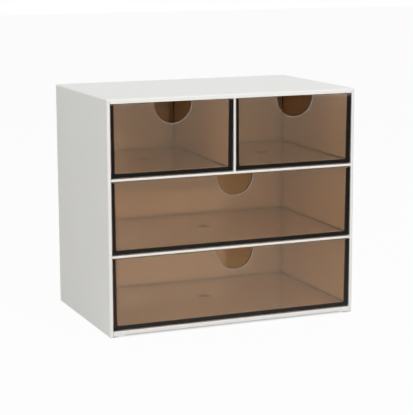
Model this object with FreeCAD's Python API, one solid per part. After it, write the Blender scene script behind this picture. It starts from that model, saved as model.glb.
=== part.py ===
import FreeCAD, Part
import os

# Desktop cabinet with four smoked drawers: two small ones side by side above two wide ones.
# Millimetres. Origin on the table under the middle of the cabinet, front towards -Y, +Z up.

# Overall size of the closed cabinet
case_width = 256.0
case_depth = 162.0
case_height = 225.5

# White casing panels
side_wall = 3.3
top_plate = 2.2
top_rim = 4.2
base_plate = 2.3
base_rim = 3.5
shelf_wall = 2.3
divider_wall = 2.1
back_wall = 2.2
back_inset = 3.2
foot_height = 2.6
corner_radius = 2.0
panel_edge_radius = 0.8
top_edge_radius = 1.3
seam_chamfer = 0.35
foot_chamfer = 0.6

# Tongue and groove joints between the panels
joint_clearance = 0.1
groove_depth = 1.2
tongue_setback = 3.0
tab_width = 24.0
tab_side_shares = (-0.3, 0.3)
divider_tab_height = 16.0

# Rims and ribs under the top and the base
rim_wall = 2.2
rib_wall = 1.4
rib_pitch = 46.0

# Snap nibs on the top panel, in windows in the sides
snap_length = 10.0
snap_height = 1.2
snap_reach = 0.7
snap_y_shares = (-0.32, 0.0, 0.32)

# Feet: soft pads plugged into bosses at the corners of the base
pad_width = 5.0
pad_length = 20.0
pad_proud = 0.4
pad_front_gap = 0.8
pad_chamfer = 0.5
boss_width = 12.0
boss_length = 26.0
boss_drop = 0.8
peg_radius = 1.8
peg_length = 1.8

# Drawers, each moulded in one piece, in rows of one height
drawer_rows = 3
front_recess = 0.5
drawer_side_gap = 0.6
drawer_top_gap = 0.9
drawer_rear_gap = 0.3
slide_gap = 0.2
runner_height = 0.8
runner_width = 1.8
runner_inset = 9.0
drawer_wall = 3.0
drawer_front_wall = 2.5
drawer_floor = 3.1
outer_draft = 0.4
inner_draft = 0.7
outer_front_radius = 0.4
outer_rear_radius = 3.0
outer_floor_chamfer = 0.35
inner_front_radius = 1.6
inner_rear_radius = 4.6
inner_floor_radius = 1.5
rim_chamfer = 0.3

# Finger notch in the top edge of each drawer front
notch_radius = 18.8
notch_shoulder = 1.0

# Gate mark: a shallow round dimple under the middle of each drawer floor
gate_radius = 5.5
gate_depth = 0.6

# Stops: ramped bumps on the shelves catch lugs under the rear of the drawers
bump_height = 0.7
bump_length = 4.0
bump_ramp_share = 0.67
bump_width = 12.0
bump_front_setback = 7.0
lug_length = 3.0
lug_width = 15.0
lug_rear_setback = 15.0
stop_side_shares = (-0.3, 0.3)

# One overrun serves every cut
overrun = 1.0

# An edge runs along an axis if at least this share of its length does
parallel_share = 0.99

# Half way round a quarter turn, this share of the radius lies along each axis
diagonal_share = 0.5 ** 0.5

# Places that follow from the sizes above
half_width = case_width / 2
front_y = -case_depth / 2
rear_y = case_depth / 2
inner_half = half_width - side_wall
tongue_half = inner_half + groove_depth
fitted_half = inner_half - joint_clearance
back_rear_y = rear_y - back_inset
back_front_y = back_rear_y - back_wall
stack_height = case_height - foot_height - base_rim - top_rim
bay_height = (stack_height - (drawer_rows - 1) * shelf_wall) / drawer_rows
bottom_bay_z = foot_height + base_rim
lower_shelf_z = bottom_bay_z + bay_height
middle_bay_z = lower_shelf_z + shelf_wall
upper_shelf_z = middle_bay_z + bay_height
top_bay_z = upper_shelf_z + shelf_wall
rim_z = case_height - top_rim
plate_z = case_height - top_plate
wide_bay = 2 * inner_half
small_bay = inner_half - divider_wall / 2
small_bay_x = (inner_half + divider_wall / 2) / 2
small_bay_centres = (-small_bay_x, small_bay_x)


def at(x, y, z):
    return FreeCAD.Vector(x, y, z)


def block(x_span, y_span, z_span):
    """A plain rectangular stretch of material or of a cut, from its three spans."""
    low_corner = at(x_span[0], y_span[0], z_span[0])
    size = [span[1] - span[0] for span in (x_span, y_span, z_span)]
    return Part.makeBox(size[0], size[1], size[2], low_corner)


def prism(points, along):
    """An outline of straight runs, extruded along a vector."""
    outline = Part.makePolygon(points + [points[0]])
    return Part.Face(outline).extrude(along)


def edges_where(shape, chosen):
    return [edge for edge in shape.Edges if chosen(edge)]


def runs_along(edge, axis):
    ends = [vertex.Point for vertex in edge.Vertexes]
    if len(ends) != 2:
        return False
    run = ends[1] - ends[0]
    return abs(run.dot(axis)) > run.Length * parallel_share


def near(value, target):
    return abs(value - target) < joint_clearance / 2


X_AXIS = at(1, 0, 0)
Z_AXIS = at(0, 0, 1)


def is_upright(edge):
    return runs_along(edge, Z_AXIS)


def save(name, shape):
    shape = shape.removeSplitter()
    if not shape.isValid():
        raise ValueError(name + " is not a valid solid")
    shape.exportStep("parts/" + name + ".step")
    print(name, "solids", len(shape.Solids), "volume", round(shape.Volume))


# Side panels: thick upright plates, rounded outside at the front and rear, with the grooves
# that hold the base, both shelves and the back, and windows for the top panel's snap nibs.

def right_side_panel():
    plan = block((inner_half, half_width), (front_y, rear_y), (pad_proud, plate_z))
    outer_uprights = edges_where(plan, lambda edge: is_upright(edge)
                                 and near(edge.CenterOfMass.x, half_width))
    panel = plan.makeFillet(corner_radius, outer_uprights)
    front_inner = edges_where(panel, lambda edge: is_upright(edge)
                              and near(edge.CenterOfMass.x, inner_half)
                              and near(edge.CenterOfMass.y, front_y))
    panel = panel.makeFillet(panel_edge_radius, front_inner)
    foot_edges = edges_where(panel, lambda edge: near(edge.CenterOfMass.z, pad_proud)
                             and edge.CenterOfMass.x > half_width - corner_radius)
    panel = panel.makeChamfer(foot_chamfer, foot_edges)
    seam_edges = edges_where(panel, lambda edge: near(edge.CenterOfMass.z, plate_z)
                             and edge.CenterOfMass.x > half_width - corner_radius)
    panel = panel.makeChamfer(seam_chamfer, seam_edges)
    groove_x = (inner_half - overrun, tongue_half + joint_clearance)
    shelf_y = (front_y + tongue_setback - joint_clearance, back_front_y + joint_clearance)
    cuts = []
    for floor_z, wall in ((bottom_bay_z, base_plate), (middle_bay_z, shelf_wall), (top_bay_z, shelf_wall)):
        groove_z = (floor_z - wall - joint_clearance, floor_z + joint_clearance)
        run_y = (shelf_y[0], rear_y + overrun) if floor_z == bottom_bay_z else shelf_y
        cuts.append(block(groove_x, run_y, groove_z))
    back_y = (back_front_y - joint_clearance, back_rear_y + joint_clearance)
    cuts.append(block(groove_x, back_y, (bottom_bay_z - groove_depth, plate_z + overrun)))
    for share in snap_y_shares:
        middle_y = share * case_depth
        half_window = snap_length / 2 + joint_clearance
        window_y = (middle_y - half_window, middle_y + half_window)
        window_z = (rim_z - joint_clearance, rim_z + snap_height + joint_clearance)
        cuts.append(block((inner_half - overrun, inner_half + snap_reach), window_y, window_z))
    return panel.cut(cuts)


# Top panel: a plate with rounded edges, a lip at the front and rear, flanges inside the side
# panels with snap nibs, a rib grid, and rib pairs that hold the back and the centre divider.

def rounded_plate(thickness, low_z):
    plan = block((-half_width, half_width), (front_y, rear_y), (low_z, low_z + thickness))
    uprights = edges_where(plan, is_upright)
    return plan.makeFillet(corner_radius, uprights)


def top_panel():
    plate = rounded_plate(top_plate, plate_z)
    upper_edges = edges_where(plate, lambda edge: near(edge.CenterOfMass.z, case_height))
    plate = plate.makeFillet(top_edge_radius, upper_edges)
    rib_z = (rim_z, plate_z + joint_clearance)
    flange_inner = fitted_half - rim_wall
    rib_stop_y = back_front_y - joint_clearance
    rear_rib_y = (rib_stop_y - rib_wall, rib_stop_y)
    lip_y = (front_y, front_y + rim_wall)
    ribs = [block((-fitted_half, fitted_half), lip_y, rib_z)]
    ribs.append(block((-fitted_half, fitted_half), (back_rear_y + joint_clearance, rear_y), rib_z))
    ribs.append(block((-fitted_half, fitted_half), rear_rib_y, rib_z))
    for side in (-1, 1):
        flange_x = sorted((side * flange_inner, side * fitted_half))
        ribs.append(block(flange_x, (front_y, rear_rib_y[1]), rib_z))
        guide = (divider_wall / 2 + joint_clearance, divider_wall / 2 + joint_clearance + rib_wall)
        guide_x = sorted((side * guide[0], side * guide[1]))
        ribs.append(block(guide_x, (front_y, rear_rib_y[1]), rib_z))
    cross_count = int((rear_rib_y[0] - lip_y[1]) / rib_pitch)
    cross_step = (rear_rib_y[0] - lip_y[1]) / (cross_count + 1)
    for side in (-1, 1):
        field_x = sorted((side * (divider_wall / 2 + joint_clearance), side * fitted_half))
        for index in range(cross_count):
            middle_y = lip_y[1] + cross_step * (index + 1)
            ribs.append(block(field_x, (middle_y - rib_wall / 2, middle_y + rib_wall / 2), rib_z))
        lane_count = int(fitted_half / rib_pitch)
        for index in range(lane_count):
            middle_x = side * fitted_half * (index + 1) / (lane_count + 1)
            lane_x = (middle_x - rib_wall / 2, middle_x + rib_wall / 2)
            ribs.append(block(lane_x, (lip_y[0], rear_rib_y[1]), rib_z))
        for share in snap_y_shares:
            ribs.append(snap_nib(side, share * case_depth))
    return plate.fuse(ribs)


def snap_nib(side, middle_y):
    """A wedge on the flange: flat on top, so that it holds, and ramped below, to click in."""
    root_x = side * (fitted_half - rim_wall / 2)
    face_x = side * fitted_half
    tip_x = side * (inner_half + snap_reach - 2 * joint_clearance)
    start_y = middle_y - snap_length / 2
    points = [at(root_x, start_y, rim_z), at(face_x, start_y, rim_z)]
    points.append(at(tip_x, start_y, rim_z + snap_height - snap_reach / 2))
    points.append(at(tip_x, start_y, rim_z + snap_height))
    points.append(at(root_x, start_y, rim_z + snap_height))
    return prism(points, at(0, snap_length, 0))


# Base panel: a plate whose side edges are tongues in the sides, with a lip all round beneath,
# a rib grid, a groove for the back, and corner bosses that take the pegs of the feet.

def plate_with_tongues(low_z, high_z, end_y):
    """A plate between the sides that widens into tongues behind its front edge."""
    step_y = front_y + tongue_setback
    points = [at(-fitted_half, front_y, low_z), at(fitted_half, front_y, low_z)]
    points += [at(fitted_half, step_y, low_z), at(tongue_half, step_y, low_z)]
    points += [at(tongue_half, end_y, low_z), at(-tongue_half, end_y, low_z)]
    points += [at(-tongue_half, step_y, low_z), at(-fitted_half, step_y, low_z)]
    return prism(points, at(0, 0, high_z - low_z))


def foot_centre(side, end):
    """Middle of a foot: side is -1 left, 1 right; end is -1 front, 1 rear."""
    x = side * (fitted_half - pad_width / 2)
    y = end * (case_depth / 2 - pad_front_gap - pad_length / 2)
    return x, y


def base_panel():
    plate_low = bottom_bay_z - base_plate
    panel = plate_with_tongues(plate_low, bottom_bay_z, rear_y)
    rib_z = (foot_height, plate_low + joint_clearance)
    solids = []
    for lip_y in ((front_y, front_y + rim_wall), (rear_y - rim_wall, rear_y)):
        solids.append(block((-fitted_half, fitted_half), lip_y, rib_z))
    for side in (-1, 1):
        flange_x = sorted((side * (fitted_half - rim_wall), side * fitted_half))
        solids.append(block(flange_x, (front_y, rear_y), rib_z))
    lane_count = int(2 * fitted_half / rib_pitch)
    for index in range(lane_count):
        middle_x = -fitted_half + 2 * fitted_half * (index + 1) / (lane_count + 1)
        solids.append(block((middle_x - rib_wall / 2, middle_x + rib_wall / 2), (front_y, rear_y), rib_z))
    cross_count = int(case_depth / rib_pitch)
    for index in range(cross_count):
        middle_y = front_y + case_depth * (index + 1) / (cross_count + 1)
        cross_y = (middle_y - rib_wall / 2, middle_y + rib_wall / 2)
        solids.append(block((-fitted_half, fitted_half), cross_y, rib_z))
    boss_z = (foot_height - boss_drop, plate_low + joint_clearance)
    for side in (-1, 1):
        for end in (-1, 1):
            boss_x = sorted((side * (fitted_half - boss_width), side * fitted_half))
            boss_y = sorted((end * (case_depth / 2 - boss_length), end * case_depth / 2))
            boss = block(boss_x, boss_y, boss_z)
            uprights = edges_where(boss, lambda edge: is_upright(edge)
                                   and abs(edge.CenterOfMass.x) < fitted_half - boss_width / 2)
            solids.append(boss.makeFillet(corner_radius, uprights))
    panel = panel.fuse(solids).removeSplitter()
    front_edges = edges_where(panel, lambda edge: runs_along(edge, X_AXIS)
                              and near(edge.CenterOfMass.y, front_y)
                              and near(edge.CenterOfMass.z, bottom_bay_z))
    panel = panel.makeFillet(panel_edge_radius, front_edges)
    back_y = (back_front_y - joint_clearance, back_rear_y + joint_clearance)
    cuts = [block((-tongue_half - overrun, tongue_half + overrun), back_y,
                  (bottom_bay_z - groove_depth, bottom_bay_z + overrun))]
    for side in (-1, 1):
        for end in (-1, 1):
            socket_top = foot_height + peg_length + joint_clearance
            cuts.append(peg(side, end, peg_radius + joint_clearance, socket_top))
            recess_z = foot_height - boss_drop - overrun
            cuts.append(pad_body(side, end, joint_clearance, recess_z, foot_height))
    panel = panel.cut(cuts)
    return panel.fuse(stop_bumps(bottom_bay_z, wide_bay, (0,)))


def peg(side, end, radius, top_z):
    """The round peg above a foot, or the socket for it, from inside the pad to top_z."""
    x, y = foot_centre(side, end)
    root_z = foot_height - peg_radius
    return Part.makeCylinder(radius, top_z - root_z, at(x, y, root_z))


def pad_body(side, end, grow, low_z, high_z):
    """A bar with round ends along the depth, grown all round by a clearance."""
    x, y = foot_centre(side, end)
    radius = pad_width / 2 + grow
    reach = pad_length / 2 - pad_width / 2
    height = high_z - low_z
    middle = block((x - radius, x + radius), (y - reach, y + reach), (low_z, high_z))
    ends = [Part.makeCylinder(radius, height, at(x, y + sign * reach, low_z)) for sign in (-1, 1)]
    return middle.fuse(ends).removeSplitter()


def foot(side, end):
    pad = pad_body(side, end, 0, 0, foot_height)
    ground_edges = edges_where(pad, lambda edge: near(edge.CenterOfMass.z, 0))
    pad = pad.makeChamfer(pad_chamfer, ground_edges)
    return pad.fuse(peg(side, end, peg_radius, foot_height + peg_length))


# Shelves: plates with tongues in the sides and tabs through the back, a rounded front edge,
# and ramped bumps that stop the drawers above them.

def shelf(low_z, bay, centres):
    panel = plate_with_tongues(low_z, low_z + shelf_wall, back_front_y)
    tabs = []
    for share in tab_side_shares:
        middle_x = share * case_width
        tab_x = (middle_x - tab_width / 2, middle_x + tab_width / 2)
        tabs.append(block(tab_x, (back_front_y - overrun, back_rear_y), (low_z, low_z + shelf_wall)))
    panel = panel.fuse(tabs).removeSplitter()
    front_edges = edges_where(panel, lambda edge: runs_along(edge, X_AXIS)
                              and near(edge.CenterOfMass.y, front_y))
    panel = panel.makeFillet(panel_edge_radius, front_edges)
    return panel.fuse(stop_bumps(low_z + shelf_wall, bay, centres))


def stop_bumps(floor_z, bay, centres):
    """Bumps in pairs under each drawer: a long ramp to the front, a steep face to the rear."""
    bumps = []
    start_y = front_y + bump_front_setback
    for centre in centres:
        for share in stop_side_shares:
            left_x = centre + share * bay - bump_width / 2
            points = [at(left_x, start_y, floor_z - joint_clearance), at(left_x, start_y, floor_z)]
            points.append(at(left_x, start_y + bump_length * bump_ramp_share, floor_z + bump_height))
            points.append(at(left_x, start_y + bump_length, floor_z + bump_height))
            points.append(at(left_x, start_y + bump_length, floor_z - joint_clearance))
            bumps.append(prism(points, at(bump_width, 0, 0)))
    return bumps


def upper_shelf():
    panel = shelf(upper_shelf_z, small_bay, small_bay_centres)
    half_slot = divider_wall / 2 + joint_clearance
    slot_y = (front_y + tongue_setback - joint_clearance, back_front_y + overrun)
    slot_z = (top_bay_z - groove_depth - joint_clearance, top_bay_z + overrun)
    return panel.cut(block((-half_slot, half_slot), slot_y, slot_z))


# Centre divider: an upright plate with a tongue in the upper shelf, another between the rib
# pair of the top panel, and a tab through the back.

def divider_tab_z():
    middle_z = (top_bay_z + rim_z) / 2
    return (middle_z - divider_tab_height / 2, middle_z + divider_tab_height / 2)


def centre_divider():
    low_z = top_bay_z - groove_depth
    step_y = front_y + tongue_setback
    lip_y = front_y + rim_wall + joint_clearance
    rib_stop_y = back_front_y - rib_wall - 2 * joint_clearance
    tab_low, tab_high = divider_tab_z()
    crown_z = plate_z - joint_clearance
    profile = [(front_y, top_bay_z), (step_y, top_bay_z), (step_y, low_z), (back_front_y, low_z)]
    profile += [(back_front_y, tab_low), (back_rear_y, tab_low), (back_rear_y, tab_high)]
    profile += [(back_front_y, tab_high), (back_front_y, rim_z), (rib_stop_y, rim_z)]
    profile += [(rib_stop_y, crown_z), (lip_y, crown_z), (lip_y, rim_z), (front_y, rim_z)]
    points = [at(-divider_wall / 2, y, z) for y, z in profile]
    panel = prism(points, at(divider_wall, 0, 0))
    front_edges = edges_where(panel, lambda edge: is_upright(edge)
                              and near(edge.CenterOfMass.y, front_y))
    return panel.makeFillet(panel_edge_radius, front_edges)


# Back panel: a plate in grooves all round, with slots for the tabs of shelves and divider.

def back_panel():
    panel = block((-tongue_half, tongue_half), (back_front_y, back_rear_y),
                  (bottom_bay_z - groove_depth, plate_z - joint_clearance))
    cut_y = (back_front_y - overrun, back_rear_y + overrun)
    cuts = []
    for low_z in (lower_shelf_z, upper_shelf_z):
        slot_z = (low_z - joint_clearance, low_z + shelf_wall + joint_clearance)
        for share in tab_side_shares:
            half_slot = tab_width / 2 + joint_clearance
            slot_x = (share * case_width - half_slot, share * case_width + half_slot)
            cuts.append(block(slot_x, cut_y, slot_z))
    tab_low, tab_high = divider_tab_z()
    half_slot = divider_wall / 2 + joint_clearance
    slot_z = (tab_low - joint_clearance, tab_high + joint_clearance)
    cuts.append(block((-half_slot, half_slot), cut_y, slot_z))
    return panel.cut(cuts)


# Drawers: drafted trays in one piece. The outside and the hollow are each the common part of
# a profile across the width and one along the depth, so that every wall leans as moulded.

def drafted(x_half, y_span, z_span, lean):
    """A box whose four walls lean out by the given amount from bottom to top."""
    low_z, high_z = z_span
    low_y, high_y = y_span
    across = [at(-x_half + lean, low_y, low_z), at(x_half - lean, low_y, low_z)]
    across += [at(x_half, low_y, high_z), at(-x_half, low_y, high_z)]
    along = [at(-x_half, low_y + lean, low_z), at(-x_half, high_y - lean, low_z)]
    along += [at(-x_half, high_y, high_z), at(-x_half, low_y, high_z)]
    width_form = prism(across, at(0, high_y - low_y, 0))
    depth_form = prism(along, at(2 * x_half, 0, 0))
    return width_form.common(depth_form)


def round_corners(body, y_span, lean, front_radius, rear_radius):
    """Rounds the rear upright corners, then the front ones, of a drafted box."""
    middle_y = (y_span[0] + y_span[1]) / 2
    rear = edges_where(body, lambda edge: is_upright(edge) and edge.CenterOfMass.y > middle_y)
    body = body.makeFillet(rear_radius, rear)
    front = edges_where(body, lambda edge: is_upright(edge) and edge.CenterOfMass.y < y_span[0] + lean)
    return body.makeFillet(front_radius, front)


def drawer_outside(x_half, y_span, z_span):
    body = drafted(x_half, y_span, z_span, outer_draft)
    body = round_corners(body, y_span, outer_draft, outer_front_radius, outer_rear_radius)
    floor_edges = edges_where(body, lambda edge: near(edge.CenterOfMass.z, z_span[0]))
    return body.makeChamfer(outer_floor_chamfer, floor_edges)


def drawer_hollow(x_half, y_span, z_span):
    body = drafted(x_half, y_span, z_span, inner_draft)
    body = round_corners(body, y_span, inner_draft, inner_front_radius, inner_rear_radius)
    floor_edges = edges_where(body, lambda edge: near(edge.CenterOfMass.z, z_span[0]))
    return body.makeFillet(inner_floor_radius, floor_edges)


def arc(start, middle, end):
    return Part.Arc(start, middle, end).toShape()


def run(start, end):
    return Part.LineSegment(start, end).toShape()


def finger_notch(wall_y, rim_level):
    """Half-round bite that opens through rounded shoulders, swept through the front wall."""
    y = wall_y[0]
    level = rim_level - notch_shoulder
    shoulder_x = notch_radius + notch_shoulder
    bend = notch_shoulder * diagonal_share
    top = rim_level + overrun
    outline = [arc(at(-notch_radius, y, level), at(0, y, level - notch_radius), at(notch_radius, y, level))]
    outline.append(arc(at(notch_radius, y, level), at(shoulder_x - bend, y, level + bend),
                       at(shoulder_x, y, rim_level)))
    outline.append(run(at(shoulder_x, y, rim_level), at(shoulder_x, y, top)))
    outline.append(run(at(shoulder_x, y, top), at(-shoulder_x, y, top)))
    outline.append(run(at(-shoulder_x, y, top), at(-shoulder_x, y, rim_level)))
    outline.append(arc(at(-shoulder_x, y, rim_level), at(bend - shoulder_x, y, level + bend),
                       at(-notch_radius, y, level)))
    return Part.Face(Part.Wire(outline)).extrude(at(0, wall_y[1] - wall_y[0], 0))


def drawer(bay, centre_x, bay_z):
    x_half = bay / 2 - drawer_side_gap
    y_span = (front_y + front_recess, back_front_y - drawer_rear_gap)
    under_z = bay_z + slide_gap + runner_height
    rim_level = bay_z + bay_height - drawer_top_gap
    outside = drawer_outside(x_half, y_span, (under_z, rim_level))
    hollow_y = (y_span[0] + drawer_front_wall, y_span[1] - drawer_wall)
    hollow = drawer_hollow(x_half - drawer_wall, hollow_y, (under_z + drawer_floor, rim_level))
    tray = outside.cut(hollow)
    notch_y = (y_span[0] - overrun, hollow_y[0] + inner_front_radius)
    tray = tray.cut(finger_notch(notch_y, rim_level))
    tray = tray.makeChamfer(rim_chamfer, rim_edges(tray, notch_y, rim_level))
    tray = tray.fuse(runners(x_half, y_span, under_z) + stop_lugs(bay, y_span, under_z))
    tray = tray.cut(Part.makeCylinder(gate_radius, gate_depth + overrun, at(0, 0, under_z - overrun)))
    tray.translate(at(centre_x, 0, 0))
    return tray


def rim_edges(tray, notch_y, rim_level):
    """Every edge round the rim, and both edges of the finger notch."""
    def on_rim(edge):
        middle = edge.CenterOfMass
        on_top = near(edge.BoundBox.ZMin, rim_level) and near(edge.BoundBox.ZMax, rim_level)
        notch_reach = notch_radius + notch_shoulder
        in_notch = abs(middle.x) < notch_reach and middle.z > rim_level - notch_reach
        across = edge.BoundBox.YLength > drawer_front_wall / 2
        return (on_top or (in_notch and middle.y < notch_y[1])) and not (in_notch and across)
    return edges_where(tray, on_rim)


def runners(x_half, y_span, under_z):
    """Low ribs along the underside, which carry the drawer on the shelf."""
    ribs = []
    run_y = (y_span[0] + runner_inset, y_span[1] - runner_inset)
    rib_z = (under_z - runner_height, under_z + drawer_floor / 2)
    for side in (-1, 1):
        middle_x = side * (x_half - runner_inset)
        ribs.append(block((middle_x - runner_width / 2, middle_x + runner_width / 2), run_y, rib_z))
    return ribs


def stop_lugs(bay, y_span, under_z):
    lugs = []
    rear = y_span[1] - lug_rear_setback
    lug_z = (under_z - runner_height, under_z + drawer_floor / 2)
    for share in stop_side_shares:
        lug_x = (share * bay - lug_width / 2, share * bay + lug_width / 2)
        lugs.append(block(lug_x, (rear - lug_length, rear), lug_z))
    return lugs


os.makedirs("parts", exist_ok=True)
right_side = right_side_panel()
save("right_side", right_side)
save("left_side", right_side.mirror(at(0, 0, 0), X_AXIS))
save("top_panel", top_panel())
save("base_panel", base_panel())
save("back_panel", back_panel())
save("upper_shelf", upper_shelf())
save("lower_shelf", shelf(lower_shelf_z, wide_bay, (0,)))
save("centre_divider", centre_divider())
save("drawer_top_left", drawer(small_bay, small_bay_centres[0], top_bay_z))
save("drawer_top_right", drawer(small_bay, small_bay_centres[1], top_bay_z))
save("drawer_middle", drawer(wide_bay, 0, middle_bay_z))
save("drawer_bottom", drawer(wide_bay, 0, bottom_bay_z))
for side, side_name in ((-1, "left"), (1, "right")):
    for end, end_name in ((-1, "front"), (1, "back")):
        save("foot_" + end_name + "_" + side_name, foot(side, end))
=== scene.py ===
"""Desktop mini drawers: a white moulded cabinet with four smoked see-through drawers."""

import math

import bmesh
import bpy
from mathutils import Euler, Matrix, Vector


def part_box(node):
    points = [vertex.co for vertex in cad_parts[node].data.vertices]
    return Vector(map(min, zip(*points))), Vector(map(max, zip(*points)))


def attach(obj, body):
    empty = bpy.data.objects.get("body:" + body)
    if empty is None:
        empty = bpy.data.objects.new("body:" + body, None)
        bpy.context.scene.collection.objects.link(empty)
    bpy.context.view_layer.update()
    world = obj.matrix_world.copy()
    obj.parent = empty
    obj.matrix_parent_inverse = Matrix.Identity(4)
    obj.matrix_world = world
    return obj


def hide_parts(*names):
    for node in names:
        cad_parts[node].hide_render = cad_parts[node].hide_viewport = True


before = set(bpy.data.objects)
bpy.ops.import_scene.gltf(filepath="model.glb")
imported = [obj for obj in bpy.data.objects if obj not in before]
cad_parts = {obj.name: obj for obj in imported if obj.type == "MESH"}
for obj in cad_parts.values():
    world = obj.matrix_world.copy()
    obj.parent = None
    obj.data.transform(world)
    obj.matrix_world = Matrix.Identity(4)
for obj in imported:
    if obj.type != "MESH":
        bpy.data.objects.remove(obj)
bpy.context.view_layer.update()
MM = 0.001

# Casing: base, sides, shelves, divider, back and top, separate injection mouldings that slot
# and click together. High-impact polystyrene, white and opaque, with a fine satin surface
# from a lightly spark-eroded mould.

CASING_PANELS = ("base_panel", "left_side", "right_side", "back_panel", "lower_shelf",
                 "upper_shelf", "centre_divider", "top_panel")
CASING_WHITE = "#EDEDEA"
CASING_FLOW = "#EAEAE6"
FLOW_WIDTH = 60 * MM
FLOW_DETAIL = 2.0
GRAIN_WIDTH = 0.9 * MM  # such a grain is really about 0.2 mm, too fine to show in the render
GRAIN_DETAIL = 3.0
GRAIN_DEPTH = 0.02 * MM
GRAIN_STRENGTH = 0.25
SATIN_ROUGHNESS = (0.36, 0.44)
CASING_IOR = 1.59


def linear(hex_colour):
    """An sRGB hex value as the linear colour that a shader takes."""
    channels = [int(hex_colour[i:i + 2], 16) / 255 for i in (1, 3, 5)]
    return [c / 12.92 if c <= 0.04045 else ((c + 0.055) / 1.055) ** 2.4 for c in channels] + [1.0]


def add_node(tree, kind, settings=None, links=None):
    """Adds a node, sets its properties and plain inputs, and links others into it."""
    node = tree.nodes.new(kind)
    for name, value in (settings or {}).items():
        if isinstance(name, str) and hasattr(node, name):
            setattr(node, name, value)
        else:
            node.inputs[name].default_value = value
    for name, socket in (links or {}).items():
        tree.links.new(socket, node.inputs[name])
    return node


def new_material(name):
    """An empty node material and its tree."""
    material = bpy.data.materials.new(name)
    material.use_nodes = True
    material.node_tree.nodes.clear()
    return material, material.node_tree


def give_material(piece, material):
    """Makes a material the only one on a piece."""
    piece.data.materials.clear()
    piece.data.materials.append(material)


def satin_white_polystyrene():
    """White high-impact polystyrene: even colour, soft highlights, faint flow and grain."""
    material, tree = new_material("satin white polystyrene")
    place = add_node(tree, "ShaderNodeTexCoord")
    flow = add_node(tree, "ShaderNodeTexNoise",
                    {"Scale": 1 / FLOW_WIDTH, "Detail": FLOW_DETAIL},
                    {"Vector": place.outputs["Object"]})
    colour = add_node(tree, "ShaderNodeMix", {"data_type": "RGBA", 6: linear(CASING_WHITE),
                                              7: linear(CASING_FLOW)}, {0: flow.outputs["Fac"]})
    grain = add_node(tree, "ShaderNodeTexNoise",
                     {"Scale": 1 / GRAIN_WIDTH, "Detail": GRAIN_DETAIL},
                     {"Vector": place.outputs["Object"]})
    relief = add_node(tree, "ShaderNodeBump",
                      {"Strength": GRAIN_STRENGTH, "Distance": GRAIN_DEPTH},
                      {"Height": grain.outputs["Fac"]})
    satin = add_node(tree, "ShaderNodeMapRange",
                     {"To Min": SATIN_ROUGHNESS[0], "To Max": SATIN_ROUGHNESS[1]},
                     {"Value": grain.outputs["Fac"]})
    skin = add_node(tree, "ShaderNodeBsdfPrincipled", {"IOR": CASING_IOR},
                    {"Base Color": colour.outputs[2], "Roughness": satin.outputs["Result"],
                     "Normal": relief.outputs["Normal"]})
    add_node(tree, "ShaderNodeOutputMaterial", None, {"Surface": skin.outputs["BSDF"]})
    return material


casing_material = satin_white_polystyrene()
for name in CASING_PANELS:
    give_material(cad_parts[name], casing_material)

# Feet: four soft bars pushed into sockets at the corners of the base. White thermoplastic
# elastomer, matt and a little greyer than the casing, so that the cabinet does not slide.

FOOT_NAMES = ("foot_front_left", "foot_front_right", "foot_back_left", "foot_back_right")
FOOT_WHITE = "#DEDEDA"
FOOT_GRAIN_DETAIL = 2.0
FOOT_GRAIN_DEPTH = 0.03 * MM
FOOT_GRAIN_STRENGTH = 0.3
FOOT_ROUGHNESS = (0.7, 0.85)
FOOT_IOR = 1.5


def matt_white_elastomer():
    """Soft thermoplastic elastomer: no shine, slightly uneven under a finger."""
    material, tree = new_material("matt white elastomer")
    place = add_node(tree, "ShaderNodeTexCoord")
    grain = add_node(tree, "ShaderNodeTexNoise",
                     {"Scale": 1 / GRAIN_WIDTH, "Detail": FOOT_GRAIN_DETAIL},
                     {"Vector": place.outputs["Object"]})
    dull = add_node(tree, "ShaderNodeMapRange",
                    {"To Min": FOOT_ROUGHNESS[0], "To Max": FOOT_ROUGHNESS[1]},
                    {"Value": grain.outputs["Fac"]})
    relief = add_node(tree, "ShaderNodeBump",
                      {"Strength": FOOT_GRAIN_STRENGTH, "Distance": FOOT_GRAIN_DEPTH},
                      {"Height": grain.outputs["Fac"]})
    skin = add_node(tree, "ShaderNodeBsdfPrincipled",
                    {"Base Color": linear(FOOT_WHITE), "IOR": FOOT_IOR},
                    {"Roughness": dull.outputs["Result"], "Normal": relief.outputs["Normal"]})
    add_node(tree, "ShaderNodeOutputMaterial", None, {"Surface": skin.outputs["BSDF"]})
    return material


foot_material = matt_white_elastomer()
for name in FOOT_NAMES:
    give_material(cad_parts[name], foot_material)

# Drawers: four one-piece drafted trays of smoked brown polystyrene, each with a half-round
# finger notch, runners, stop lugs and a gate mark in its floor. The moulds are polished but
# for the back of the front wall and the trimmed notch edge, which are matt.

DRAWER_NAMES = ("drawer_bottom", "drawer_middle", "drawer_top_left", "drawer_top_right")
DRAWER_SIDE_GAP = 0.6 * MM
TRAY_WALL = 3.0 * MM
TRAY_FRONT_WALL = 2.5 * MM
TRAY_FLOOR = 3.1 * MM
OUTER_DRAFT = 0.4 * MM
INNER_DRAFT = 0.7 * MM
FRONT_CORNER = 0.4 * MM
REAR_CORNER = 3.0 * MM
FLOOR_EDGE = 0.35 * MM
INNER_FRONT_CORNER = 1.6 * MM
INNER_REAR_CORNER = 4.6 * MM
INNER_FLOOR_EDGE = 1.5 * MM
CORNER_STEPS = 8
RIM_EDGE = 0.35 * MM
RIM_STEPS = 3
NOTCH_RADIUS = 18.8 * MM
NOTCH_SIDES = 128
NOTCH_SHOULDER = 1.0 * MM
SHOULDER_STEPS = 6
CUT_PAST = 4 * MM
RUNNER_HEIGHT = 0.8 * MM
RUNNER_WIDTH = 1.8 * MM
RUNNER_INSET = 9 * MM
LUG_LENGTH = 3 * MM
LUG_WIDTH = 15 * MM
LUG_REAR_SETBACK = 15 * MM
LUG_SIDE_SHARE = 0.3
GATE_RADIUS = 5.5 * MM
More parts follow.
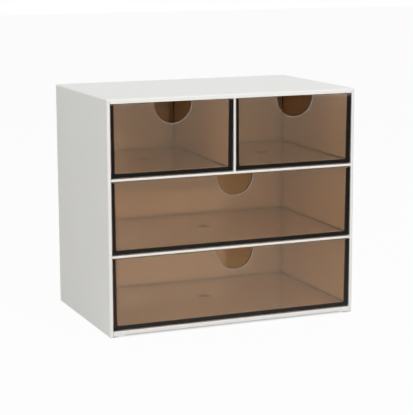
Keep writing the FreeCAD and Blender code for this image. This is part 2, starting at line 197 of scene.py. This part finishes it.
GATE_DEPTH = 0.6 * MM
SINK_RADIUS = 7.2 * MM
SINK_DEPTH = 0.45 * MM
DISH_SIDES = 64
DISH_RING = 1.0 * MM
NEAR = 0.01 * MM
SQUARELY = 0.9
SHARP = math.radians(60)
SMOOTH = math.radians(35)
FLAT_WEIGHT = 100
SMOKE_TINT = "#E9C98C"
SMOKE_DENSITY = 200.0  # per metre of plastic
SMOKE_IOR = 1.57
POLISH_ROUGHNESS = 0.02
MATT_ROUGHNESS = 0.44
FIELD_MATT = 0.26
TRIM_MATT = 0.35


def add_block(low, high):
    """A block from corner to corner, active, selected and in edit mode."""
    bpy.ops.object.select_all(action="DESELECT")
    low, high = Vector(low), Vector(high)
    bpy.ops.mesh.primitive_cube_add(size=1, location=(low + high) / 2, scale=high - low)
    bpy.ops.object.transform_apply(location=True, rotation=True, scale=True)
    bpy.ops.object.mode_set(mode="EDIT")
    return bpy.context.object


def select_where(piece, kind, chosen):
    """In edit mode, selects the faces or edges that pass a test of their place."""
    mesh = bmesh.from_edit_mesh(piece.data)
    bpy.ops.mesh.select_mode(type="FACE" if kind == "faces" else "EDGE")
    bpy.ops.mesh.select_all(action="DESELECT")
    for element in getattr(mesh, kind):
        if chosen(element):
            element.select_set(True)
    mesh.select_flush_mode()
    bmesh.update_edit_mesh(piece.data)


def middle_of(edge):
    """The point half-way along an edge."""
    return (edge.verts[0].co + edge.verts[1].co) / 2


def upright(edge):
    """Whether an edge runs mostly up and down."""
    run = edge.verts[1].co - edge.verts[0].co
    return abs(run.z) > SQUARELY * run.length


def drafted_block(low, high, draft, rear_radius, front_radius, floor_radius):
    """A tray's outside or hollow: leaning walls, rounded corners and floor edge, no lid."""
    piece = add_block(low, high)
    middle_y = (low[1] + high[1]) / 2
    select_where(piece, "faces", lambda face: face.normal.z < -SQUARELY)
    width, depth = high[0] - low[0], high[1] - low[1]
    bpy.ops.transform.resize(value=(1 - 2 * draft / width, 1 - 2 * draft / depth, 1))
    select_where(piece, "edges", lambda edge: upright(edge) and middle_of(edge).y > middle_y)
    bpy.ops.mesh.bevel(offset=rear_radius, segments=CORNER_STEPS, affect="EDGES")
    select_where(piece, "edges", lambda edge: upright(edge) and middle_of(edge).y < low[1] + draft)
    bpy.ops.mesh.bevel(offset=front_radius, segments=CORNER_STEPS, affect="EDGES")
    select_where(piece, "edges", lambda edge: middle_of(edge).z < low[2] + NEAR)
    bpy.ops.mesh.bevel(offset=floor_radius, segments=CORNER_STEPS // 2, affect="EDGES")
    select_where(piece, "faces", lambda face: face.normal.z > SQUARELY)
    bpy.ops.mesh.delete(type="FACE")
    bpy.ops.object.mode_set(mode="OBJECT")
    return piece


def tray_shell(low, high):
    """A drafted block and its hollow, bridged along the rim into one closed skin."""
    shell = drafted_block(low, high, OUTER_DRAFT, REAR_CORNER, FRONT_CORNER, FLOOR_EDGE)
    hollow_low = Vector((low.x + TRAY_WALL, low.y + TRAY_FRONT_WALL, low.z + TRAY_FLOOR))
    hollow_high = Vector((high.x - TRAY_WALL, high.y - TRAY_WALL, high.z))
    hollow = drafted_block(hollow_low, hollow_high, INNER_DRAFT, INNER_REAR_CORNER,
                           INNER_FRONT_CORNER, INNER_FLOOR_EDGE)
    hollow.data.flip_normals()
    bpy.ops.object.select_all(action="DESELECT")
    hollow.select_set(True)
    shell.select_set(True)
    bpy.context.view_layer.objects.active = shell
    bpy.ops.object.join()
    bpy.ops.object.mode_set(mode="EDIT")
    select_where(shell, "edges", lambda edge: edge.is_boundary)
    bpy.ops.mesh.bridge_edge_loops()
    bpy.ops.object.mode_set(mode="OBJECT")
    return shell


def cut_or_join(piece, tool, operation):
    """Cuts a tool out of a piece, or joins it on, and removes the tool."""
    bpy.ops.object.select_all(action="DESELECT")
    bpy.context.view_layer.objects.active = piece
    piece.select_set(True)
    change = piece.modifiers.new("change", "BOOLEAN")
    change.object = tool
    change.operation = operation
    change.solver = "EXACT"
    bpy.ops.object.modifier_apply(modifier="change")
    bpy.data.objects.remove(tool)


def notch_cutter(centre_x, front_y, rim_z):
    """A round bar across the front wall, opened upwards past the rim."""
    bpy.ops.object.select_all(action="DESELECT")
    centre = Vector((centre_x, front_y + TRAY_FRONT_WALL / 2, rim_z - NOTCH_SHOULDER))
    bpy.ops.mesh.primitive_cylinder_add(vertices=NOTCH_SIDES, radius=NOTCH_RADIUS,
                                        depth=TRAY_FRONT_WALL + 2 * CUT_PAST, location=centre,
                                        rotation=(math.pi / 2, 0, 0))
    bpy.ops.object.transform_apply(location=True, rotation=True, scale=True)
    cutter = bpy.context.object
    bpy.ops.object.mode_set(mode="EDIT")
    mesh = bmesh.from_edit_mesh(cutter.data)
    for vertex in mesh.verts:
        vertex.select_set(vertex.co.z > centre.z + NEAR)
    bmesh.update_edit_mesh(cutter.data)
    bpy.ops.transform.translate(value=(0, 0, CUT_PAST))
    bpy.ops.object.mode_set(mode="OBJECT")
    return cutter


def open_notch(tray, low, high, centre_x):
    """Cuts the finger notch, rounds its shoulders, and eases its edge and the rim."""
    cut_or_join(tray, notch_cutter(centre_x, low.y, high.z), "DIFFERENCE")
    bpy.ops.object.mode_set(mode="EDIT")
    inside_y = low.y + TRAY_FRONT_WALL

    def notch_corner(edge):
        """Whether an edge is one of the two where the notch meets the rim."""
        run = edge.verts[1].co - edge.verts[0].co
        middle = middle_of(edge)
        return (abs(run.y) > TRAY_FRONT_WALL / 2 and abs(run.x) < NEAR
                and middle.z > high.z - NEAR and middle.y < inside_y
                and abs(abs(middle.x - centre_x) - NOTCH_RADIUS) < NOTCH_SHOULDER)

    def rim_or_notch(edge):
        """Whether an edge is a sharp one along the rim or round the notch."""
        if len(edge.link_faces) != 2 or edge.calc_face_angle(0) <= SHARP:
            return False
        middle = middle_of(edge)
        on_rim = min(vertex.co.z for vertex in edge.verts) > high.z - NEAR
        in_notch = (abs(middle.x - centre_x) < NOTCH_RADIUS + 2 * NOTCH_SHOULDER
                    and middle.z > high.z - NOTCH_RADIUS - 2 * NOTCH_SHOULDER
                    and middle.y < inside_y + NEAR)
        return on_rim or in_notch

    select_where(tray, "edges", notch_corner)
    bpy.ops.mesh.bevel(offset=NOTCH_SHOULDER, segments=SHOULDER_STEPS, affect="EDGES",
                       clamp_overlap=False)
    bpy.ops.mesh.select_all(action="SELECT")
    bpy.ops.mesh.remove_doubles(threshold=NEAR)
    bpy.ops.mesh.dissolve_degenerate(threshold=NEAR)
    select_where(tray, "edges", rim_or_notch)
    bpy.ops.mesh.bevel(offset=RIM_EDGE, segments=RIM_STEPS, affect="EDGES", clamp_overlap=False)
    bpy.ops.object.mode_set(mode="OBJECT")


def join_bar(tray, low, high):
    """Joins a straight bar to the underside of the floor."""
    bar = add_block(low, high)
    bpy.ops.object.mode_set(mode="OBJECT")
    cut_or_join(tray, bar, "UNION")


def cut_dish(tray, place, radius, depth, side):
    """Presses a shallow dish into the floor: side 1 from above, where it sinks, -1 at the gate."""
    ball = (radius ** 2 + depth ** 2) / (2 * depth)
    bpy.ops.object.select_all(action="DESELECT")
    bpy.ops.mesh.primitive_uv_sphere_add(segments=DISH_SIDES, radius=ball,
                                         ring_count=round(math.pi * ball / DISH_RING),
                                         location=place + Vector((0, 0, side * (ball - depth))))
    bpy.ops.object.transform_apply(location=True, rotation=True, scale=True)
    cut_or_join(tray, bpy.context.object, "DIFFERENCE")


def mark_matt(tray, low, notch_centre):
    """Stores how matt each face is: the back of the front wall, and the trimmed notch edge."""
    matt = tray.data.attributes.new("matt", "FLOAT", "FACE")
    wall_middle, past_wall = low.y + TRAY_FRONT_WALL / 2, low.y + 2 * TRAY_FRONT_WALL
    for face in tray.data.polygons:
        place = face.center
        from_notch = math.hypot(place.x - notch_centre.x, place.z - notch_centre.z) - NOTCH_RADIUS
        if face.normal.y > SQUARELY and wall_middle < place.y < past_wall:
            matt.data[face.index].value = FIELD_MATT
        elif abs(from_notch) < 2 * RIM_EDGE and low.y + NEAR < place.y < low.y + RIM_EDGE:
            matt.data[face.index].value = TRIM_MATT


def smoked_tray(name):
    """One drawer, made at its CAD node's place and size."""
    node_low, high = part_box(name)
    low = Vector((node_low.x, node_low.y, node_low.z + RUNNER_HEIGHT))
    centre_x = (low.x + high.x) / 2
    tray = tray_shell(low, high)
    tray.name = tray.data.name = name.replace("drawer", "smoked_tray")
    open_notch(tray, low, high, centre_x)
    bay = high.x - low.x + 2 * DRAWER_SIDE_GAP
    bar_top = low.z + TRAY_FLOOR / 2
    lug_y = high.y - LUG_REAR_SETBACK
    for side in (-1, 1):
        runner_x = centre_x + side * ((high.x - low.x) / 2 - RUNNER_INSET)
        join_bar(tray, (runner_x - RUNNER_WIDTH / 2, low.y + RUNNER_INSET, node_low.z),
                 (runner_x + RUNNER_WIDTH / 2, high.y - RUNNER_INSET, bar_top))
        lug_x = centre_x + side * LUG_SIDE_SHARE * bay
        join_bar(tray, (lug_x - LUG_WIDTH / 2, lug_y - LUG_LENGTH, node_low.z),
                 (lug_x + LUG_WIDTH / 2, lug_y, bar_top))
    cut_dish(tray, Vector((centre_x, 0, low.z)), GATE_RADIUS, GATE_DEPTH, -1)
    cut_dish(tray, Vector((centre_x, 0, low.z + TRAY_FLOOR)), SINK_RADIUS, SINK_DEPTH, 1)
    mark_matt(tray, low, Vector((centre_x, low.y, high.z - NOTCH_SHOULDER)))
    bpy.ops.object.shade_smooth_by_angle(angle=SMOOTH)
    flats = tray.modifiers.new("flats", "WEIGHTED_NORMAL")
    flats.keep_sharp = True
    flats.weight = FLAT_WEIGHT
    bpy.ops.object.modifier_apply(modifier="flats")
    return tray


def smoked_polystyrene():
    """Smoked transparent polystyrene: brown through a wall, nearly black along its length.
    The matt share scatters only the light that can leave, so trapped light stays dark."""
    material, tree = new_material("smoked transparent polystyrene")
    matt = add_node(tree, "ShaderNodeAttribute", {"attribute_name": "matt"})
    rough = add_node(tree, "ShaderNodeMapRange",
                     {"To Min": POLISH_ROUGHNESS, "To Max": MATT_ROUGHNESS},
                     {"Value": matt.outputs["Fac"]})
    trapped = add_node(tree, "ShaderNodeFresnel", {"IOR": SMOKE_IOR})
    leaving = add_node(tree, "ShaderNodeMath", {"operation": "SUBTRACT", 0: 1.0},
                       {1: trapped.outputs[0]})
    haze = add_node(tree, "ShaderNodeMath", {"operation": "MULTIPLY"},
                    {0: matt.outputs["Fac"], 1: leaving.outputs[0]})
    clear = add_node(tree, "ShaderNodeMath", {"operation": "SUBTRACT", 0: 1.0},
                     {1: haze.outputs[0]})
    skin = add_node(tree, "ShaderNodeBsdfPrincipled",
                    {"Base Color": (1, 1, 1, 1), "IOR": SMOKE_IOR},
                    {"Roughness": rough.outputs["Result"],
                     "Transmission Weight": clear.outputs[0]})
    smoke = add_node(tree, "ShaderNodeVolumeAbsorption",
                     {"Color": linear(SMOKE_TINT), "Density": SMOKE_DENSITY})
    add_node(tree, "ShaderNodeOutputMaterial", None,
             {"Surface": skin.outputs["BSDF"], "Volume": smoke.outputs["Volume"]})
    return material


tray_material = smoked_polystyrene()
for name in DRAWER_NAMES:
    tray = smoked_tray(name)
    give_material(tray, tray_material)
    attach(tray, name)
    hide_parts(name)

# Table: a pale matt laminate top that runs out of sight. The camera sees it as white, and
# as shaded only where the cabinet stands. Through and off clear plastic it glows with a
# painted pool of light, bright close in front of the cabinet and dimmer further off.

TABLE_SIZE = 12.0
TABLE_PALE = "#E6E4E0"
HALF_FOOTPRINT = (0.128, 0.081, 1.0)
SHADE_EDGE = 12 * MM
SHOWN_WHITE = 0.95
POOL_PLACE = (0.0, -0.15, 0.0)
POOL_REACH = 0.5
SEEN_THROUGH = (1.0, 0.3)
MIRRORED = (0.5, 0.25)
WHITE = (1, 1, 1, 1)
bpy.ops.object.select_all(action="DESELECT")
bpy.ops.mesh.primitive_plane_add(size=TABLE_SIZE, location=(0, 0, 0))
table = bpy.context.object
table.name = "table_top"


def painted_pool_of_light(tree, distance, levels):
    """Painted pool of light: a white glow, smoothly from its near to its far level."""
    level = add_node(tree, "ShaderNodeMapRange",
                     {"interpolation_type": "SMOOTHSTEP", "From Min": 0.0,
                      "From Max": POOL_REACH, "To Min": levels[0], "To Max": levels[1]},
                     {"Value": distance})
    return add_node(tree, "ShaderNodeEmission", {"Color": WHITE}, {"Strength": level.outputs[0]})


def pale_table():
    """Matt pale laminate shown white, shade kept under the cabinet; painted pool of light."""
    material, tree = new_material("pale matt laminate")
    path = add_node(tree, "ShaderNodeLightPath")
    place = add_node(tree, "ShaderNodeTexCoord")
    from_middle = add_node(tree, "ShaderNodeVectorMath", {"operation": "ABSOLUTE"},
                           {0: place.outputs["Object"]})
    past_sides = add_node(tree, "ShaderNodeVectorMath",
                          {"operation": "SUBTRACT", 1: HALF_FOOTPRINT},
                          {0: from_middle.outputs[0]})
    past_sides = add_node(tree, "ShaderNodeSeparateXYZ", None, {0: past_sides.outputs[0]})
    edge = add_node(tree, "ShaderNodeMath", {"operation": "MAXIMUM"},
                    {0: past_sides.outputs["X"], 1: past_sides.outputs["Y"]})
    whiten = add_node(tree, "ShaderNodeMapRange",
                      {"From Min": -SHADE_EDGE, "From Max": 0.0, "To Min": 0.0,
                       "To Max": SHOWN_WHITE}, {"Value": edge.outputs[0]})
    matt = add_node(tree, "ShaderNodeBsdfDiffuse", {"Color": linear(TABLE_PALE)})
    white = add_node(tree, "ShaderNodeEmission", {"Color": WHITE, "Strength": 1.0})
    faint = add_node(tree, "ShaderNodeMixShader", None,
                     {0: whiten.outputs[0], 1: matt.outputs[0], 2: white.outputs[0]})
    shown = add_node(tree, "ShaderNodeMixShader", None,
                     {0: path.outputs["Is Camera Ray"], 1: matt.outputs[0],
                      2: faint.outputs[0]})
    # Painted pool of light: a glow on the table, strongest in front of the cabinet, that lights
    # the drawers through their walls and shows in their reflections.
    far = add_node(tree, "ShaderNodeVectorMath", {"operation": "DISTANCE", 1: POOL_PLACE},
                   {0: place.outputs["Object"]})
    lit = painted_pool_of_light(tree, far.outputs["Value"], SEEN_THROUGH)
    dim = painted_pool_of_light(tree, far.outputs["Value"], MIRRORED)
    mirrored = add_node(tree, "ShaderNodeMixShader", None,
                        {0: path.outputs["Is Glossy Ray"], 1: shown.outputs[0],
                         2: dim.outputs[0]})
    through = add_node(tree, "ShaderNodeMixShader", None,
                       {0: path.outputs["Is Transmission Ray"], 1: mirrored.outputs[0],
                        2: lit.outputs[0]})
    add_node(tree, "ShaderNodeOutputMaterial", None, {"Surface": through.outputs[0]})
    return material


give_material(table, pale_table())

# Surround and lamps: a white room, two softboxes in front and above, and two low scrims that
# also shine through the drawers, as for a product picture.

SURROUND_LIGHT = 0.35
SHOWN_SURROUND = 1.0
LAMP_AIM = Vector((0, 0, 0.11))
world = bpy.data.worlds.new("white_surround")
bpy.context.scene.world = world
world.use_nodes = True
room = world.node_tree
room.nodes.clear()
path = add_node(room, "ShaderNodeLightPath")
seen = add_node(room, "ShaderNodeMath", {"operation": "MAXIMUM"},
                {0: path.outputs["Is Camera Ray"], 1: path.outputs["Is Glossy Ray"]})
seen = add_node(room, "ShaderNodeMath", {"operation": "MAXIMUM"},
                {0: seen.outputs[0], 1: path.outputs["Is Transmission Ray"]})
light = add_node(room, "ShaderNodeBackground", {"Color": WHITE, "Strength": SURROUND_LIGHT})
white = add_node(room, "ShaderNodeBackground", {"Color": WHITE, "Strength": SHOWN_SURROUND})
both = add_node(room, "ShaderNodeMixShader", None,
                {0: seen.outputs[0], 1: light.outputs[0], 2: white.outputs[0]})
add_node(room, "ShaderNodeOutputWorld", None, {"Surface": both.outputs[0]})


def soft_lamp(name, place, size, watts, through_drawers):
    """A soft panel of light that faces the cabinet, seen through clear plastic or not."""
    lamp = bpy.data.lights.new(name, "AREA")
    lamp.shape = "RECTANGLE"
    lamp.size, lamp.size_y = size
    lamp.energy = watts
    holder = bpy.data.objects.new(name, lamp)
    bpy.context.scene.collection.objects.link(holder)
    holder.location = place
    holder.rotation_euler = (LAMP_AIM - Vector(place)).to_track_quat("-Z", "Y").to_euler()
    holder.visible_transmission = through_drawers


soft_lamp("front_softbox", place=(0.7, -1.6, 1.0), size=(0.9, 0.9), watts=9.5,
          through_drawers=False)
soft_lamp("top_softbox", place=(0.1, 0.1, 1.6), size=(1.0, 1.0), watts=7.0,
          through_drawers=False)
soft_lamp("scrim_right", place=(0.6, -1.8, 0.4), size=(1.2, 0.8), watts=5.0,
          through_drawers=True)
soft_lamp("scrim_far", place=(-1.8, -0.9, 0.35), size=(0.9, 0.7), watts=11.9,
          through_drawers=True)

# Camera: fitted to the photograph's vanishing lines and the cabinet's corners, a long lens
# from the left and a little above. The bounces let light pass all the walls of the drawers.

CAMERA_PLACE = (-0.551678, -1.347220, 0.367535)
CAMERA_PITCH = math.radians(10.3122)
CAMERA_YAW = math.radians(22.4037)
CAMERA_ROLL = math.radians(-0.2224)
CAMERA_LENS = 126.95
CAMERA_SENSOR = 36
CLEAR_BOUNCES = 32
GLOSSY_BOUNCES = 16
MATT_BOUNCES = 8
view = bpy.data.cameras.new("photo_view")
view.lens = CAMERA_LENS
view.sensor_width = CAMERA_SENSOR
camera = bpy.data.objects.new("photo_view", view)
bpy.context.scene.collection.objects.link(camera)
turn = Euler((math.pi / 2 - CAMERA_PITCH, 0, -CAMERA_YAW)).to_matrix()
turn = turn @ Matrix.Rotation(CAMERA_ROLL, 3, "Z")
camera.matrix_world = Matrix.Translation(CAMERA_PLACE) @ turn.to_4x4()
bpy.context.scene.camera = camera
light_paths = bpy.context.scene.cycles
light_paths.max_bounces = CLEAR_BOUNCES
light_paths.transmission_bounces = CLEAR_BOUNCES
light_paths.glossy_bounces = GLOSSY_BOUNCES
light_paths.diffuse_bounces = MATT_BOUNCES
light_paths.blur_glossy = 0.0
bpy.context.scene.view_settings.view_transform = "Standard"
